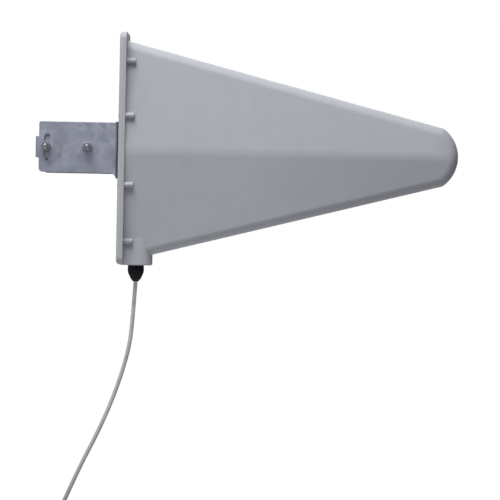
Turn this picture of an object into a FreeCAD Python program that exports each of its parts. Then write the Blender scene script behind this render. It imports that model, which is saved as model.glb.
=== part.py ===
"""Wedge-shaped log-periodic antenna in a moulded radome, on a tilting mast clamp.

Millimetres, +Z up. The origin is on the mast's axis, level with the two clamp bolts.
+X points along the antenna towards its nose, and the mast stands along Z.
The mast clamp is the fixed body. Everything ahead of it tilts about the pivot bolt.
"""
import FreeCAD
import Part
import math
import os
from FreeCAD import Placement, Rotation, Vector

# Mast and clamp
MAST_RADIUS = 21.2
BOLT_OFFSET = 25.0            # lock bolt behind the mast, pivot bolt ahead of it
BOLT_RADIUS = 3.0
STRAP_SHEET = 2.5
STRAP_OUTER_Y = 24.1
STRAP_REAR_X = -38.2
STRAP_FRONT_X = 35.0
STRAP_HALF_HEIGHT = 12.5
STRAP_BEND = 1.5              # inner radius of the strap's two rear bends
CRADLE_HALF_ANGLE = 30.0      # each arm wraps this much of the mast either side of its middle
CRADLE_EDGE_X = 19.5          # the arms are flat beyond this distance from the mast's axis

# Tilt bracket
PLATE = 2.5
PLATE_OUTER_Y = 26.8
PLATE_REAR_X = -33.6
PLATE_TOP_Z = 30.6
PLATE_LOW_Z = -30.4
WEB_TOP_Z = 31.6
WEB_LOW_Z = -36.6
BEND_OUTER = 3.5
NOTCH_RADIUS = 7.5            # where the side plates flare down into the web
NOTCH_X = 52.2                # start of the flare
SLOT_WIDTH = 7.0
SLOT_HALF_ANGLE = 14.5
PIVOT_HOLE = 3.05

# Clamp hardware, stacked outwards from the side plates
WASHER_GAP = 0.1
WASHER_RADIUS = 6.0
WASHER = 1.6
SPRING_WASHER_RADIUS = 4.9
SPRING_WASHER = 1.5
NUT_FLATS = 10.0
NUT = 5.0
HEAD = 4.0
BOLT_END_Y = -38.2

# Radome
AXIS_Z = -3.0                 # height of the antenna's own axis
COVER_X = 62.0                # rear face of the rear cover
COVER = 5.0
COVER_ROUND = 4.4
FLANGE = 3.0
FLANGE_HALF_WIDTH = 34.0
FLANGE_HALF_HEIGHT = 140.3
FLANGE_CORNER = 9.0
WEDGE_ANGLE = 14.4
REAR_HALF_HEIGHT = 136.0      # of the wedge, level with the cover's rear face
NOSE_TIP_X = 473.0
NOSE_RADIUS = 43.3
RIDGE_HALF_WIDTH = 31.5       # at the crease, level with the cover's rear face
RIDGE_TAPER = 0.025           # loss of half width per millimetre towards the nose
FACET_LEAN = 0.090            # loss of half width per millimetre above or below the crease
WALL = 2.8
CREASE_RADIUS = 55.0
EDGE_RADIUS = 12.0
UPPER_CORNER_RADIUS = 12.0
LOWER_CORNER_RADIUS = 9.0
STOCK_HALF_WIDTH = 60.0
BOSS_RADIUS = 3.4
BOSS_LENGTH = 11.0
BOSS_PROUD = 1.6              # of its centre beyond the side wall
BOSS_OFFSETS = (108.5, 42.5, -41.0, -109.0)
COVER_SCREW_RADIUS = 1.6
COVER_SCREW_HEAD = 3.4
GASKET_WIDTH = 1.6
GASKET = 1.4
GASKET_INSET = 0.8

# Cable block under the rear of the radome, and its gland
BLOCK_HALF_WIDTH = 21.5
BLOCK_FRONT_X = 104.0
BLOCK_ROUND = 14.0
BLOCK_LOW_Z = -141.0
BLOCK_TOP_Z = -102.0
GLAND_X = 84.4
GLAND_THREAD = 6.0
GLAND_FLANGE = 3.0
GLAND_RADIUS = 9.85
GLAND_NUT_LOW_Z = -161.0
LOCKNUT = 5.0

# Booms and dipoles
BOOM = 12.0
BOOM_WALL = 1.5
BOOM_Y = 8.0
BOOM_REAR_X = 92.0
BOOM_FRONT_X = 448.0
DIPOLES = 12
FIRST_DIPOLE_X = 118.0
LAST_DIPOLE_X = 440.0
LONGEST_HALF = 112.0
SHORTEST_HALF = 22.0
DIPOLE_RADIUS = 2.0
DIPOLE_NUT_FLATS = 7.0
DIPOLE_NUT = 2.2
SPACER_PLACES = (146.0, 241.0, 340.5)
SPACER = 8.0
MOUNT_SCREW_Y = 14.0
MOUNT_SCREW_Z = 20.0
MOUNT_SCREW_RADIUS = 2.5
MOUNT_HOLE = 2.75
BACKING = 3.0
FOOT = 4.0

# Cable: a 5 mm coaxial lead, 0.93 m from gland to connector
CABLE_RADIUS = 2.5
COAX_Z = AXIS_Z - BOOM / 2 - CABLE_RADIUS - 0.2
COAX_FRONT_X = 444.0
ROUTE = (
    (84.4, 0.0, -161.0),
    (82.3, -0.5, -198.0),
    (79.3, -2.5, -237.0),
    (70.0, -6.0, -273.5),
    (58.8, -12.0, -307.0),
    (43.9, -19.0, -343.0),
    (26.1, -25.0, -379.0),
    (10.5, -28.0, -414.0),
    (-1.8, -28.5, -443.0),
    (-5.0, -28.5, -468.0),
)
COIL_RADIUS = 30.0            # at the middle of its turns
COIL_TURNS = 3
COIL_PITCH = 5.2
COIL_CENTRE = Vector(ROUTE[-1][0] + COIL_RADIUS, ROUTE[-1][1], ROUTE[-1][2])
TAIL_Y = ROUTE[-1][1] - COIL_TURNS * COIL_PITCH
TAIL = (
    (-5.0, TAIL_Y, -468.0),
    (-5.6, TAIL_Y - 1.0, -490.0),
    (-3.5, TAIL_Y - 0.4, -512.0),
)
TIE = 1.2
TIE_WIDTH = 5.0

# Connector on the cable's end, hanging along -Z
PORT_X = TAIL[-1][0]
PORT_Y = TAIL[-1][1]
SLEEVE_TOP_Z = TAIL[-1][2]
SLEEVE_LOW_Z = SLEEVE_TOP_Z - 27.0
FERRULE_RADIUS = 3.6
FERRULE_TOP_Z = SLEEVE_TOP_Z - 12.0
PORT_TOP_Z = SLEEVE_LOW_Z - 1.0
PORT_HEX = 7.0
PORT_THREAD_RADIUS = 7.94
PORT_THREAD = 12.0

X_AXIS = Vector(1, 0, 0)
Y_AXIS = Vector(0, 1, 0)
Z_AXIS = Vector(0, 0, 1)


# ---------------------------------------------------------------- plain forms

def box(x, y, z):
    """A box from (low, high) pairs."""
    return Part.makeBox(x[1] - x[0], y[1] - y[0], z[1] - z[0], Vector(x[0], y[0], z[0]))


def rod(start, end, radius):
    """A round bar between two points."""
    start = Vector(*start)
    along = Vector(*end) - start
    return Part.makeCylinder(radius, along.Length, start, along)


def ring(start, end, outer, inner):
    return rod(start, end, outer).cut(rod(start, end, inner))


def fused(shapes):
    whole = shapes[0]
    for shape in shapes[1:]:
        whole = whole.fuse(shape)
    return whole.removeSplitter()


def turned(points, centre, axis=Z_AXIS):
    """A body of revolution from (radius, height) points, standing on its centre along an axis."""
    outline = [Vector(radius, 0, height) for radius, height in points]
    face = Part.Face(Part.makePolygon(outline + outline[:1]))
    body = face.revolve(Vector(), Z_AXIS, 360)
    body.Placement = Placement(centre, Rotation(Z_AXIS, axis))
    return body


def hexagon(centre, axis, flats, height, bore=0.0):
    """A hexagonal nut or bolt head with its corners turned off, rising from its centre along an axis."""
    corner = flats / math.sqrt(3)
    points = [Vector(corner * math.cos(math.radians(60 * i)), corner * math.sin(math.radians(60 * i)), 0)
              for i in range(6)]
    body = Part.Face(Part.makePolygon(points + points[:1])).extrude(Vector(0, 0, height))
    relief = (corner - flats / 2) * 0.6
    barrel = turned([(0, 0), (corner - relief, 0), (corner, relief), (corner, height - relief),
                     (corner - relief, height), (0, height)], Vector())
    body = body.common(barrel)
    if bore:
        body = body.cut(Part.makeCylinder(bore, height))
    body.Placement = Placement(centre, Rotation(Z_AXIS, axis))
    return body


def edges_along(shape, direction, keep):
    """The straight edges that run along a direction and whose middle passes a test."""
    found = []
    for edge in shape.Edges:
        if len(edge.Vertexes) == 2:
            along = edge.Vertexes[1].Point - edge.Vertexes[0].Point
            if along.cross(direction).Length < 1e-6 * along.Length and keep(edge.CenterOfMass):
                found.append(edge)
    return found


def plate(x, half_y, z, corner):
    """A plate across X with rounded corners."""
    body = box(x, (-half_y, half_y), z)
    return body.makeFillet(corner, edges_along(body, X_AXIS, lambda at: True))


def saved(name, shapes):
    """Write one node: a single solid, or a group of separate ones."""
    solids = []
    for shape in shapes if isinstance(shapes, list) else [shapes]:
        solids.extend(shape.Solids)
    for solid in solids:
        if not solid.isValid() or solid.Volume <= 0:
            raise ValueError(name + " has a bad solid")
    whole = solids[0] if len(solids) == 1 else Part.makeCompound(solids)
    whole.exportStep("parts/" + name + ".step")


# ----------------------------------------------------------------- mast clamp

def arm_outline(side):
    """The inner face of one arm of the strap, from its rear bend to its front end."""
    flat = STRAP_OUTER_Y - STRAP_SHEET
    cradle = math.radians(CRADLE_HALF_ANGLE)
    wrap_x = MAST_RADIUS * math.sin(cradle)
    wrap_y = MAST_RADIUS * math.cos(cradle)

    def at(x, y):
        return Vector(x, side * y, -STRAP_HALF_HEIGHT)

    inner_x = STRAP_REAR_X + STRAP_SHEET
    turn = STRAP_BEND * (1 - math.sqrt(0.5))
    return [
        Part.Arc(at(inner_x, flat - STRAP_BEND), at(inner_x + turn, flat - turn),
                 at(inner_x + STRAP_BEND, flat)).toShape(),
        Part.LineSegment(at(inner_x + STRAP_BEND, flat), at(-CRADLE_EDGE_X, flat)).toShape(),
        Part.LineSegment(at(-CRADLE_EDGE_X, flat), at(-wrap_x, wrap_y)).toShape(),
        Part.Arc(at(-wrap_x, wrap_y), at(0, MAST_RADIUS), at(wrap_x, wrap_y)).toShape(),
        Part.LineSegment(at(wrap_x, wrap_y), at(CRADLE_EDGE_X, flat)).toShape(),
        Part.LineSegment(at(CRADLE_EDGE_X, flat), at(STRAP_FRONT_X, flat)).toShape(),
    ]


def mast_strap():
    """A bent steel strap that passes behind the mast and is squeezed onto it by the two bolts."""
    inner_x = STRAP_REAR_X + STRAP_SHEET
    reach = STRAP_OUTER_Y - STRAP_SHEET - STRAP_BEND
    web = Part.LineSegment(Vector(inner_x, -reach, -STRAP_HALF_HEIGHT),
                           Vector(inner_x, reach, -STRAP_HALF_HEIGHT)).toShape()
    path = Part.Wire(Part.__sortEdges__(arm_outline(-1) + [web] + arm_outline(1)))
    sheet = path.makeOffset2D(STRAP_SHEET, 0, True, True)
    strap = sheet.extrude(Vector(0, 0, 2 * STRAP_HALF_HEIGHT))
    rounded = edges_along(strap, Y_AXIS, lambda at: at.x > STRAP_FRONT_X - 0.1)
    strap = strap.makeFillet(4.0, rounded)
    for x in (-BOLT_OFFSET, BOLT_OFFSET):
        strap = strap.cut(rod((x, -40, 0), (x, 40, 0), BOLT_RADIUS + 0.2))
    return strap


def clamp_bolt(x):
    """A hexagon bolt across the clamp, with its head on the far side."""
    seat = PLATE_OUTER_Y + WASHER_GAP + WASHER
    shank = rod((x, BOLT_END_Y, 0), (x, seat, 0), BOLT_RADIUS)
    tip = [edge for edge in shank.Edges if edge.CenterOfMass.y < BOLT_END_Y + 0.1 and edge.Closed]
    shank = shank.makeChamfer(0.6, tip)
    return fused([shank, hexagon(Vector(x, seat, 0), Y_AXIS, NUT_FLATS, HEAD)])


def clamp_washers():
    face = PLATE_OUTER_Y + WASHER_GAP
    return [ring((x, side * face, 0), (x, side * (face + WASHER), 0), WASHER_RADIUS, BOLT_RADIUS + 0.2)
            for x in (-BOLT_OFFSET, BOLT_OFFSET) for side in (-1, 1)]


def spring_washers():
    """Split rings under the nuts."""
    face = -(PLATE_OUTER_Y + WASHER_GAP + WASHER)
    rings = []
    for x, turn in ((-BOLT_OFFSET, 35.0), (BOLT_OFFSET, 130.0)):
        whole = ring((x, face, 0), (x, face - SPRING_WASHER, 0), SPRING_WASHER_RADIUS, BOLT_RADIUS + 0.1)
        slit = box((0, 8), (-5, 5), (-0.45, 0.45))
        slit.Placement = Placement(Vector(x, face, 0), Rotation(Y_AXIS, turn))
        rings.append(whole.cut(slit))
    return rings


def clamp_nuts():
    face = -(PLATE_OUTER_Y + WASHER_GAP + WASHER + SPRING_WASHER)
    return [hexagon(Vector(x, face, 0), Y_AXIS * -1, NUT_FLATS, NUT, BOLT_RADIUS + 0.05)
            for x in (-BOLT_OFFSET, BOLT_OFFSET)]


# --------------------------------------------------------------- tilt bracket

def arc_slot():
    """The curved slot that the lock bolt slides in, through both side plates."""
    half = math.radians(SLOT_HALF_ANGLE)

    def at(radius, angle):
        return Vector(BOLT_OFFSET - radius * math.cos(angle), -40, radius * math.sin(angle))

    middle = 2 * BOLT_OFFSET
    inner = middle - SLOT_WIDTH / 2
    outer = middle + SLOT_WIDTH / 2
    cap = SLOT_WIDTH / 2 / middle
    wire = Part.Wire([
        Part.Arc(at(outer, -half), at(outer, 0), at(outer, half)).toShape(),
        Part.Arc(at(outer, half), at(middle, half + cap), at(inner, half)).toShape(),
        Part.Arc(at(inner, half), at(inner, 0), at(inner, -half)).toShape(),
        Part.Arc(at(inner, -half), at(middle, -half - cap), at(outer, -half)).toShape(),
    ])
    return Part.Face(wire).extrude(Vector(0, 80, 0))


def tilt_bracket():
    """A channel folded from sheet: two side plates beside the mast and a web on the rear cover."""
    height = (WEB_LOW_Z, WEB_TOP_Z)
    inner_y = PLATE_OUTER_Y - PLATE
    body = box((PLATE_REAR_X, COVER_X), (-PLATE_OUTER_Y, PLATE_OUTER_Y), height)
    body = body.makeFillet(BEND_OUTER, edges_along(body, Z_AXIS, lambda at: at.x > COVER_X - 1))
    hollow = box((PLATE_REAR_X - 1, COVER_X - PLATE), (-inner_y, inner_y), (WEB_LOW_Z - 1, WEB_TOP_Z + 1))
    hollow = hollow.makeFillet(BEND_OUTER - PLATE,
                               edges_along(hollow, Z_AXIS, lambda at: at.x > COVER_X - PLATE - 1))
    body = body.cut(hollow)
    notch_z = PLATE_LOW_Z - NOTCH_RADIUS
    for side in (-1, 1):
        y = sorted((side * (PLATE_OUTER_Y - BEND_OUTER), side * 30))
        body = body.cut(box((PLATE_REAR_X - 1, NOTCH_X), y, (WEB_LOW_Z - 1, PLATE_LOW_Z)))
        body = body.cut(rod((NOTCH_X, y[0], notch_z), (NOTCH_X, y[1], notch_z), NOTCH_RADIUS))
        body = body.cut(box((PLATE_REAR_X - 1, COVER_X - BEND_OUTER), y, (PLATE_TOP_Z, WEB_TOP_Z + 1)))
    for z, radius in ((PLATE_TOP_Z, 2.5), (PLATE_LOW_Z, 5.0)):
        corners = edges_along(body, Y_AXIS,
                              lambda at: at.x < PLATE_REAR_X + 0.1 and abs(at.z - z) < 0.1)
        body = body.makeFillet(radius, corners)
    body = body.cut(arc_slot())
    body = body.cut(rod((BOLT_OFFSET, -40, 0), (BOLT_OFFSET, 40, 0), PIVOT_HOLE))
    return body.cut(mount_holes())


def mount_places():
    return [(y, z) for y in (-MOUNT_SCREW_Y, MOUNT_SCREW_Y) for z in (-MOUNT_SCREW_Z, MOUNT_SCREW_Z)]


def mount_holes():
    """Four clearance holes that run through the bracket, the cover, the backing plate and the boom mount."""
    return Part.makeCompound([rod((COVER_X - 10, y, z), (COVER_X + 20, y, z), MOUNT_HOLE)
                              for y, z in mount_places()])


def bracket_screws():
    """Button-headed screws with their heads inside the bracket."""
    seat = COVER_X - PLATE - 1.0
    screws = []
    for y, z in mount_places():
        shank = rod((seat, y, z), (COVER_X + 17, y, z), MOUNT_SCREW_RADIUS)
        head = turned([(0, 0), (4.7, 0), (4.7, 0.8), (3.6, 2.2), (1.9, 2.9), (0, 2.9)],
                      Vector(seat, y, z), X_AXIS * -1)
        socket = hexagon(Vector(seat - 1.4, y, z), X_AXIS * -1, 3.0, 2.0)
        screws.append(fused([shank, head]).cut(socket))
    return screws


def bracket_washers():
    face = COVER_X - PLATE
    return [ring((face, y, z), (face - 1.0, y, z), 5.0, MOUNT_HOLE) for y, z in mount_places()]


def bracket_nuts():
    face = COVER_X + COVER + BACKING + FOOT
    return [hexagon(Vector(face, y, z), X_AXIS, 8.0, 4.5, MOUNT_SCREW_RADIUS + 0.05)
            for y, z in mount_places()]


# --------------------------------------------------------------------- radome

def half_space(point, normal):
    """A very large block on the far side of a plane."""
    size = 1500.0
    block = Part.makeBox(size, size, size, Vector(-size / 2, -size / 2, 0))
    block.Placement = Placement(point, Rotation(Z_AXIS, normal))
    return block


def wedge(inset, start_x):
    """The radome's form with sharp edges, moved inwards by a wall's thickness.

    Returns the solid and the distance of its nose corners from the cover and from the axis.
    """
    slope = math.tan(math.radians(WEDGE_ANGLE))
    rear = REAR_HALF_HEIGHT - inset / math.cos(math.radians(WEDGE_ANGLE))
    nose_x = NOSE_TIP_X - NOSE_RADIUS
    nose_radius = NOSE_RADIUS - inset
    level = rear - slope * (nose_x - COVER_X)
    ahead = (level * slope + math.sqrt((1 + slope ** 2) * nose_radius ** 2 - level ** 2)) / (1 + slope ** 2)
    corner_x = nose_x + ahead
    corner_half = level - slope * ahead
    start_half = rear - slope * (start_x - COVER_X)

    def at(x, up):
        return Vector(x, -STOCK_HALF_WIDTH, AXIS_Z + up)

    outline = Part.Wire([
        Part.LineSegment(at(start_x, start_half), at(corner_x, corner_half)).toShape(),
        Part.Arc(at(corner_x, corner_half), at(nose_x + nose_radius, 0), at(corner_x, -corner_half)).toShape(),
        Part.LineSegment(at(corner_x, -corner_half), at(start_x, -start_half)).toShape(),
        Part.LineSegment(at(start_x, -start_half), at(start_x, start_half)).toShape(),
    ])
    return Part.Face(outline).extrude(Vector(0, 2 * STOCK_HALF_WIDTH, 0)), corner_x, corner_half


def with_facets(body, inset):
    """Plane the two flat facets of each side, which meet in a crease along the axis."""
    for side in (-1, 1):
        for up in (-1, 1):
            normal = Vector(RIDGE_TAPER, side, up * FACET_LEAN)
            crease = Vector(COVER_X, side * (RIDGE_HALF_WIDTH - inset * normal.Length), AXIS_Z)
            body = body.cut(half_space(crease, normal))
    return body


def rim_edges(body, start_x):
    """The edges between the sides and the top, nose and bottom."""
    found = []
    for edge in body.Edges:
        middle = edge.valueAt((edge.FirstParameter + edge.LastParameter) / 2)
        one_side = all(v.Y * middle.y > 0 for v in edge.Vertexes)
        if one_side and middle.x > start_x + 0.1:
            normals = [face.normalAt(*face.Surface.parameter(middle))
                       for face in body.ancestorsOfType(edge, Part.Face)]
            if normals[0].getAngle(normals[1]) > math.radians(60):
                found.append(edge)
    return found


def radome_form():
    """The outer form: a wedge with a soft crease along each side, rounded rims and a blunt nose."""
    start_x = COVER_X + COVER
    body, corner_x, corner_half = wedge(0, start_x)
    for sign, radius in ((1, UPPER_CORNER_RADIUS), (-1, LOWER_CORNER_RADIUS)):
        corner = edges_along(body, Y_AXIS, lambda at: abs(at.x - corner_x) < 0.1
                             and abs(at.z - AXIS_Z - sign * corner_half) < 0.1)
        body = body.makeFillet(radius, corner)
    body = with_facets(body, 0)
    creases = [edge for edge in body.Edges if edge.Length > 50 and abs(edge.CenterOfMass.y) > 5
               and all(abs(v.Z - AXIS_Z) < 0.01 for v in edge.Vertexes)]
    body = body.makeFillet(CREASE_RADIUS, creases)
    return body.makeFillet(EDGE_RADIUS, rim_edges(body, start_x))


def radome_hollow():
    start_x = COVER_X
    body = with_facets(wedge(WALL, start_x)[0], WALL)
    return body.makeFillet(EDGE_RADIUS - WALL, rim_edges(body, start_x))


def side_half_width(x, z):
    """Half the radome's width at a place on its side."""
    return RIDGE_HALF_WIDTH - RIDGE_TAPER * (x - COVER_X) - FACET_LEAN * abs(z - AXIS_Z)


def screw_places():
    """Centres of the cover screws and of the bosses that take them."""
    places = []
    for offset in BOSS_OFFSETS:
        z = AXIS_Z + offset
        y = side_half_width(COVER_X + COVER + FLANGE, z) + BOSS_PROUD
        places.extend([(-y, z), (y, z)])
    return places


def cable_block(x, half_width, z, round_radius):
    """A block with two rounded front corners."""
    body = box(x, (-half_width, half_width), z)
    return body.makeFillet(round_radius, edges_along(body, Z_AXIS, lambda at: at.x > x[1] - 1))


def radome_shell():
    """The moulded cover: wedge, flange, screw bosses and cable block in one piece."""
    flange_x = COVER_X + COVER
    front_x = flange_x + FLANGE
    height = (-FLANGE_HALF_HEIGHT, FLANGE_HALF_HEIGHT)
    flange = plate((flange_x, front_x), FLANGE_HALF_WIDTH, height, FLANGE_CORNER)
    body = radome_form().fuse(flange)
    outer_block = cable_block((flange_x, BLOCK_FRONT_X), BLOCK_HALF_WIDTH,
                              (BLOCK_LOW_Z, BLOCK_TOP_Z), BLOCK_ROUND)
    low_rim = [edge for edge in outer_block.Edges if edge.CenterOfMass.z < BLOCK_LOW_Z + 0.1
               and edge.CenterOfMass.x > flange_x + 1]
    body = body.fuse(outer_block.makeFillet(1.2, low_rim))
    for y, z in screw_places():
        boss = rod((flange_x, y, z), (front_x + BOSS_LENGTH, y, z), BOSS_RADIUS)
        tip = [edge for edge in boss.Edges if edge.CenterOfMass.x > front_x + BOSS_LENGTH - 0.1
               and edge.Closed]
        body = body.fuse(boss.makeFillet(0.7, tip))
    body = body.cut(radome_hollow())
    inner_block = cable_block((flange_x - 1, BLOCK_FRONT_X - WALL), BLOCK_HALF_WIDTH - WALL,
                              (BLOCK_LOW_Z + 3.0, BLOCK_TOP_Z), BLOCK_ROUND - WALL)
    body = body.cut(inner_block)
    for y, z in screw_places():
        body = body.cut(rod((flange_x - 1, y, z), (flange_x + 13, y, z), COVER_SCREW_RADIUS + 0.05))
    body = body.cut(rod((GLAND_X, 0, BLOCK_LOW_Z - 1), (GLAND_X, 0, BLOCK_LOW_Z + 5), GLAND_THREAD + 0.1))
    return body.removeSplitter()


def gasket_ring(slack):
    """The space of the sealing cord in the cover's front face, with some slack all round."""
    x = (COVER_X + COVER - GASKET - slack, COVER_X + COVER)
    layer = box(x, (-40, 40), (-150, 150))
    outer = with_facets(wedge(GASKET_INSET - slack, COVER_X)[0], GASKET_INSET - slack)
    inner = with_facets(wedge(GASKET_INSET + GASKET_WIDTH + slack, COVER_X)[0],
                        GASKET_INSET + GASKET_WIDTH + slack)
    return outer.common(layer).cut(inner)


def rear_cover():
    """The flat cover that closes the radome and carries everything."""
    x = (COVER_X, COVER_X + COVER)
    body = plate(x, FLANGE_HALF_WIDTH, (-FLANGE_HALF_HEIGHT, FLANGE_HALF_HEIGHT), FLANGE_CORNER)
    rim = [edge for edge in body.Edges if abs(edge.CenterOfMass.x - COVER_X) < 0.01]
    body = body.makeFillet(COVER_ROUND, rim)
    body = body.cut(gasket_ring(0.05))
    for y, z in screw_places():
        body = body.cut(rod((COVER_X - 1, y, z), (COVER_X + 9, y, z), COVER_SCREW_RADIUS + 0.2))
        sink = turned([(0, 0), (COVER_SCREW_HEAD + 0.15, 0), (COVER_SCREW_RADIUS, 1.95), (0, 1.95)],
                      Vector(COVER_X, y, z), X_AXIS)
        body = body.cut(sink)
    return body.cut(mount_holes())


def cover_screws():
    """Countersunk screws with crossed slots, flush with the cover."""
    screws = []
    for y, z in screw_places():
        head = turned([(0, 0.1), (COVER_SCREW_HEAD, 0.1), (COVER_SCREW_RADIUS, 1.9), (0, 1.9)],
                      Vector(COVER_X, y, z), X_AXIS)
        shank = rod((COVER_X + 1, y, z), (COVER_X + 15.5, y, z), COVER_SCREW_RADIUS)
        screw = fused([head, shank])
        for half_y, half_z in ((1.9, 0.4), (0.4, 1.9)):
            screw = screw.cut(box((COVER_X, COVER_X + 1.3), (y - half_y, y + half_y), (z - half_z, z + half_z)))
        screws.append(screw)
    return screws


# ----------------------------------------------------------- booms and dipoles

def dipole_places():
    """(place, half length) of each dipole: every one is the same share shorter than the one behind it."""
    share = (SHORTEST_HALF / LONGEST_HALF) ** (1 / (DIPOLES - 1))
    pitch = (LAST_DIPOLE_X - FIRST_DIPOLE_X) / (LONGEST_HALF - SHORTEST_HALF)
    halves = [LONGEST_HALF * share ** i for i in range(DIPOLES)]
    return [(FIRST_DIPOLE_X + pitch * (LONGEST_HALF - half), half) for half in halves]


def dipole_side(number, side):
    """Whether a boom's half of a dipole points up or down: neighbours on one boom alternate."""
    return side if number % 2 else -side


def backing_plate():
    x = (COVER_X + COVER, COVER_X + COVER + BACKING)
    return plate(x, 21.0, (-29.0, 29.0), 3.0).cut(mount_holes())


def boom_mount():
    """A cast block that bolts to the backing plate and joins the two booms at their rear ends."""
    foot_x = COVER_X + COVER + BACKING
    foot = plate((foot_x, foot_x + FOOT), 20.0, (-28.0, 27.0), 3.0)
    stem = box((foot_x + FOOT, BOOM_REAR_X), (-BOOM_Y - 6, BOOM_Y + 6), (AXIS_Z - 7, AXIS_Z + 7))
    core = BOOM / 2 - BOOM_WALL - 0.1
    spigots = [box((BOOM_REAR_X, BOOM_REAR_X + 18), (side * BOOM_Y - core, side * BOOM_Y + core),
                   (AXIS_Z - core, AXIS_Z + core)) for side in (-1, 1)]
    body = fused([foot, stem] + spigots).cut(mount_holes())
    for side in (-1, 1):
        body = body.cut(rod((BOOM_REAR_X + 9, side * BOOM_Y, -20), (BOOM_REAR_X + 9, side * BOOM_Y, 20), 1.55))
    return body


def boom_pins():
    x = BOOM_REAR_X + 9
    return [rod((x, side * BOOM_Y, AXIS_Z - 6.4), (x, side * BOOM_Y, AXIS_Z + 6.4), 1.5) for side in (-1, 1)]


def boom(side):
    """A square tube, drilled for the pin and for its half of every dipole."""
    y = side * BOOM_Y
    half = BOOM / 2
    bore = half - BOOM_WALL
    body = box((BOOM_REAR_X, BOOM_FRONT_X), (y - half, y + half), (AXIS_Z - half, AXIS_Z + half))
    body = body.makeFillet(0.8, edges_along(body, X_AXIS, lambda at: True))
    body = body.cut(box((BOOM_REAR_X - 1, BOOM_FRONT_X + 1), (y - bore, y + bore),
                        (AXIS_Z - bore, AXIS_Z + bore)))
    body = body.cut(rod((BOOM_REAR_X + 9, y, -20), (BOOM_REAR_X + 9, y, 20), 1.55))
    for number, (x, _) in enumerate(dipole_places()):
        up = dipole_side(number, side)
        body = body.cut(rod((x, y, AXIS_Z), (x, y, AXIS_Z + up * 20), DIPOLE_RADIUS + 0.05))
    return body


def dipole(number):
    """Two half rods, one on each boom, pointing opposite ways."""
    x, half = dipole_places()[number]
    rods = []
    for side in (-1, 1):
        up = dipole_side(number, side)
        body = rod((x, side * BOOM_Y, AXIS_Z + up * 3.5), (x, side * BOOM_Y, AXIS_Z + up * half), DIPOLE_RADIUS)
        tips = [edge for edge in body.Edges if edge.Closed]
        rods.append(body.makeChamfer(0.4, tips))
    return rods


def dipole_nuts():
    """Thin lock nuts, one where each half rod leaves its boom."""
    nuts = []
    for number, (x, _) in enumerate(dipole_places()):
        for side in (-1, 1):
            up = dipole_side(number, side)
            nuts.append(hexagon(Vector(x, side * BOOM_Y, AXIS_Z + up * BOOM / 2), Z_AXIS * up,
                                DIPOLE_NUT_FLATS, DIPOLE_NUT, DIPOLE_RADIUS + 0.05))
    return nuts


def boom_spacer(x):
    """A plastic plate that holds the booms apart and the lead under them."""
    span = (x - SPACER / 2, x + SPACER / 2)
    body = plate(span, 16.8, (COAX_Z - 5.0, AXIS_Z + 9.0), 2.5)
    hole = BOOM / 2 + 0.05
    for side in (-1, 1):
        y = side * BOOM_Y
        body = body.cut(box((span[0] - 1, span[1] + 1), (y - hole, y + hole), (AXIS_Z - hole, AXIS_Z + hole)))
    return body.cut(rod((span[0] - 1, 0, COAX_Z), (span[1] + 1, 0, COAX_Z), CABLE_RADIUS + 0.1))


def nose_pad():
    """A foam block that steadies the front of the booms inside the nose."""
    body = box((BOOM_FRONT_X + 1.2, BOOM_FRONT_X + 14), (-12, 12), (AXIS_Z - 17, AXIS_Z + 17))
    return body.makeFillet(3.0, edges_along(body, Y_AXIS, lambda at: at.x > BOOM_FRONT_X + 10))


def feed_shield_tab():
    """A brass tab on the right boom's end with a collar for the lead's braid."""
    front = (BOOM_FRONT_X, BOOM_FRONT_X + 0.8)
    tab = box(front, (-BOOM_Y - 5, -3.4), (COAX_Z - 3.0, AXIS_Z + 5))
    link = box(front, (-5, -1.5), (COAX_Z - 3.0, COAX_Z + 3.0))
    collar = ring((COAX_FRONT_X - 7, 0, COAX_Z), (BOOM_FRONT_X + 0.8, 0, COAX_Z),
                  CABLE_RADIUS + 0.8, CABLE_RADIUS + 0.05)
    keep = fused([tab, link, collar])
    return keep.cut(rod((COAX_FRONT_X - 8, 0, COAX_Z), (BOOM_FRONT_X + 2, 0, COAX_Z), CABLE_RADIUS + 0.05))


def feed_core_tab():
    """A brass tab on the left boom's end that reaches the lead's centre wire."""
    front = (BOOM_FRONT_X, BOOM_FRONT_X + 0.8)
    tab = box(front, (3.6, BOOM_Y + 5), (COAX_Z - 3.0, AXIS_Z + 5))
    tongue = box((BOOM_FRONT_X + 0.8, BOOM_FRONT_X + 1.1), (-1.4, 6.0), (COAX_Z - 1.2, COAX_Z + 1.2))
    return fused([tab, tongue])


# ---------------------------------------------------------- lead, gland, cable

def tube(points, radius, label, bend=None):
    """A round cord along straight runs that are joined by the largest arcs they leave room for."""
    points = [Vector(*point) for point in points]
    edges = []
    radii = []
    start = points[0]
    for before, here, after in zip(points, points[1:], points[2:]):
        back = before - here
        ahead = after - here
        half_turn = (math.pi - back.getAngle(ahead)) / 2
        reach = 0.45 * min(back.Length, ahead.Length)
        radii.append(reach / math.tan(half_turn))
        if bend and radii[-1] > bend:
            radii[-1] = bend
            reach = bend * math.tan(half_turn)
        back.normalize()
        ahead.normalize()
        enter = here + back * reach
        leave = here + ahead * reach
        inwards = back + ahead
        inwards.normalize()
        middle = here + inwards * (radii[-1] / math.cos(half_turn) - radii[-1])
        edges.append(Part.LineSegment(start, enter).toShape())
        edges.append(Part.Arc(enter, middle, leave).toShape())
        start = leave
    edges.append(Part.LineSegment(start, points[-1]).toShape())
    path = Part.Wire(edges)
    section = Part.Wire([Part.makeCircle(radius, points[0], points[1] - points[0])])
    body = path.makePipeShell([section], True, True)
    print(label, "bend radii", [round(r) for r in radii], "length", round(path.Length, 1),
          "volume ratio", round(body.Volume / (math.pi * radius ** 2 * path.Length), 4))
    return body


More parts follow.
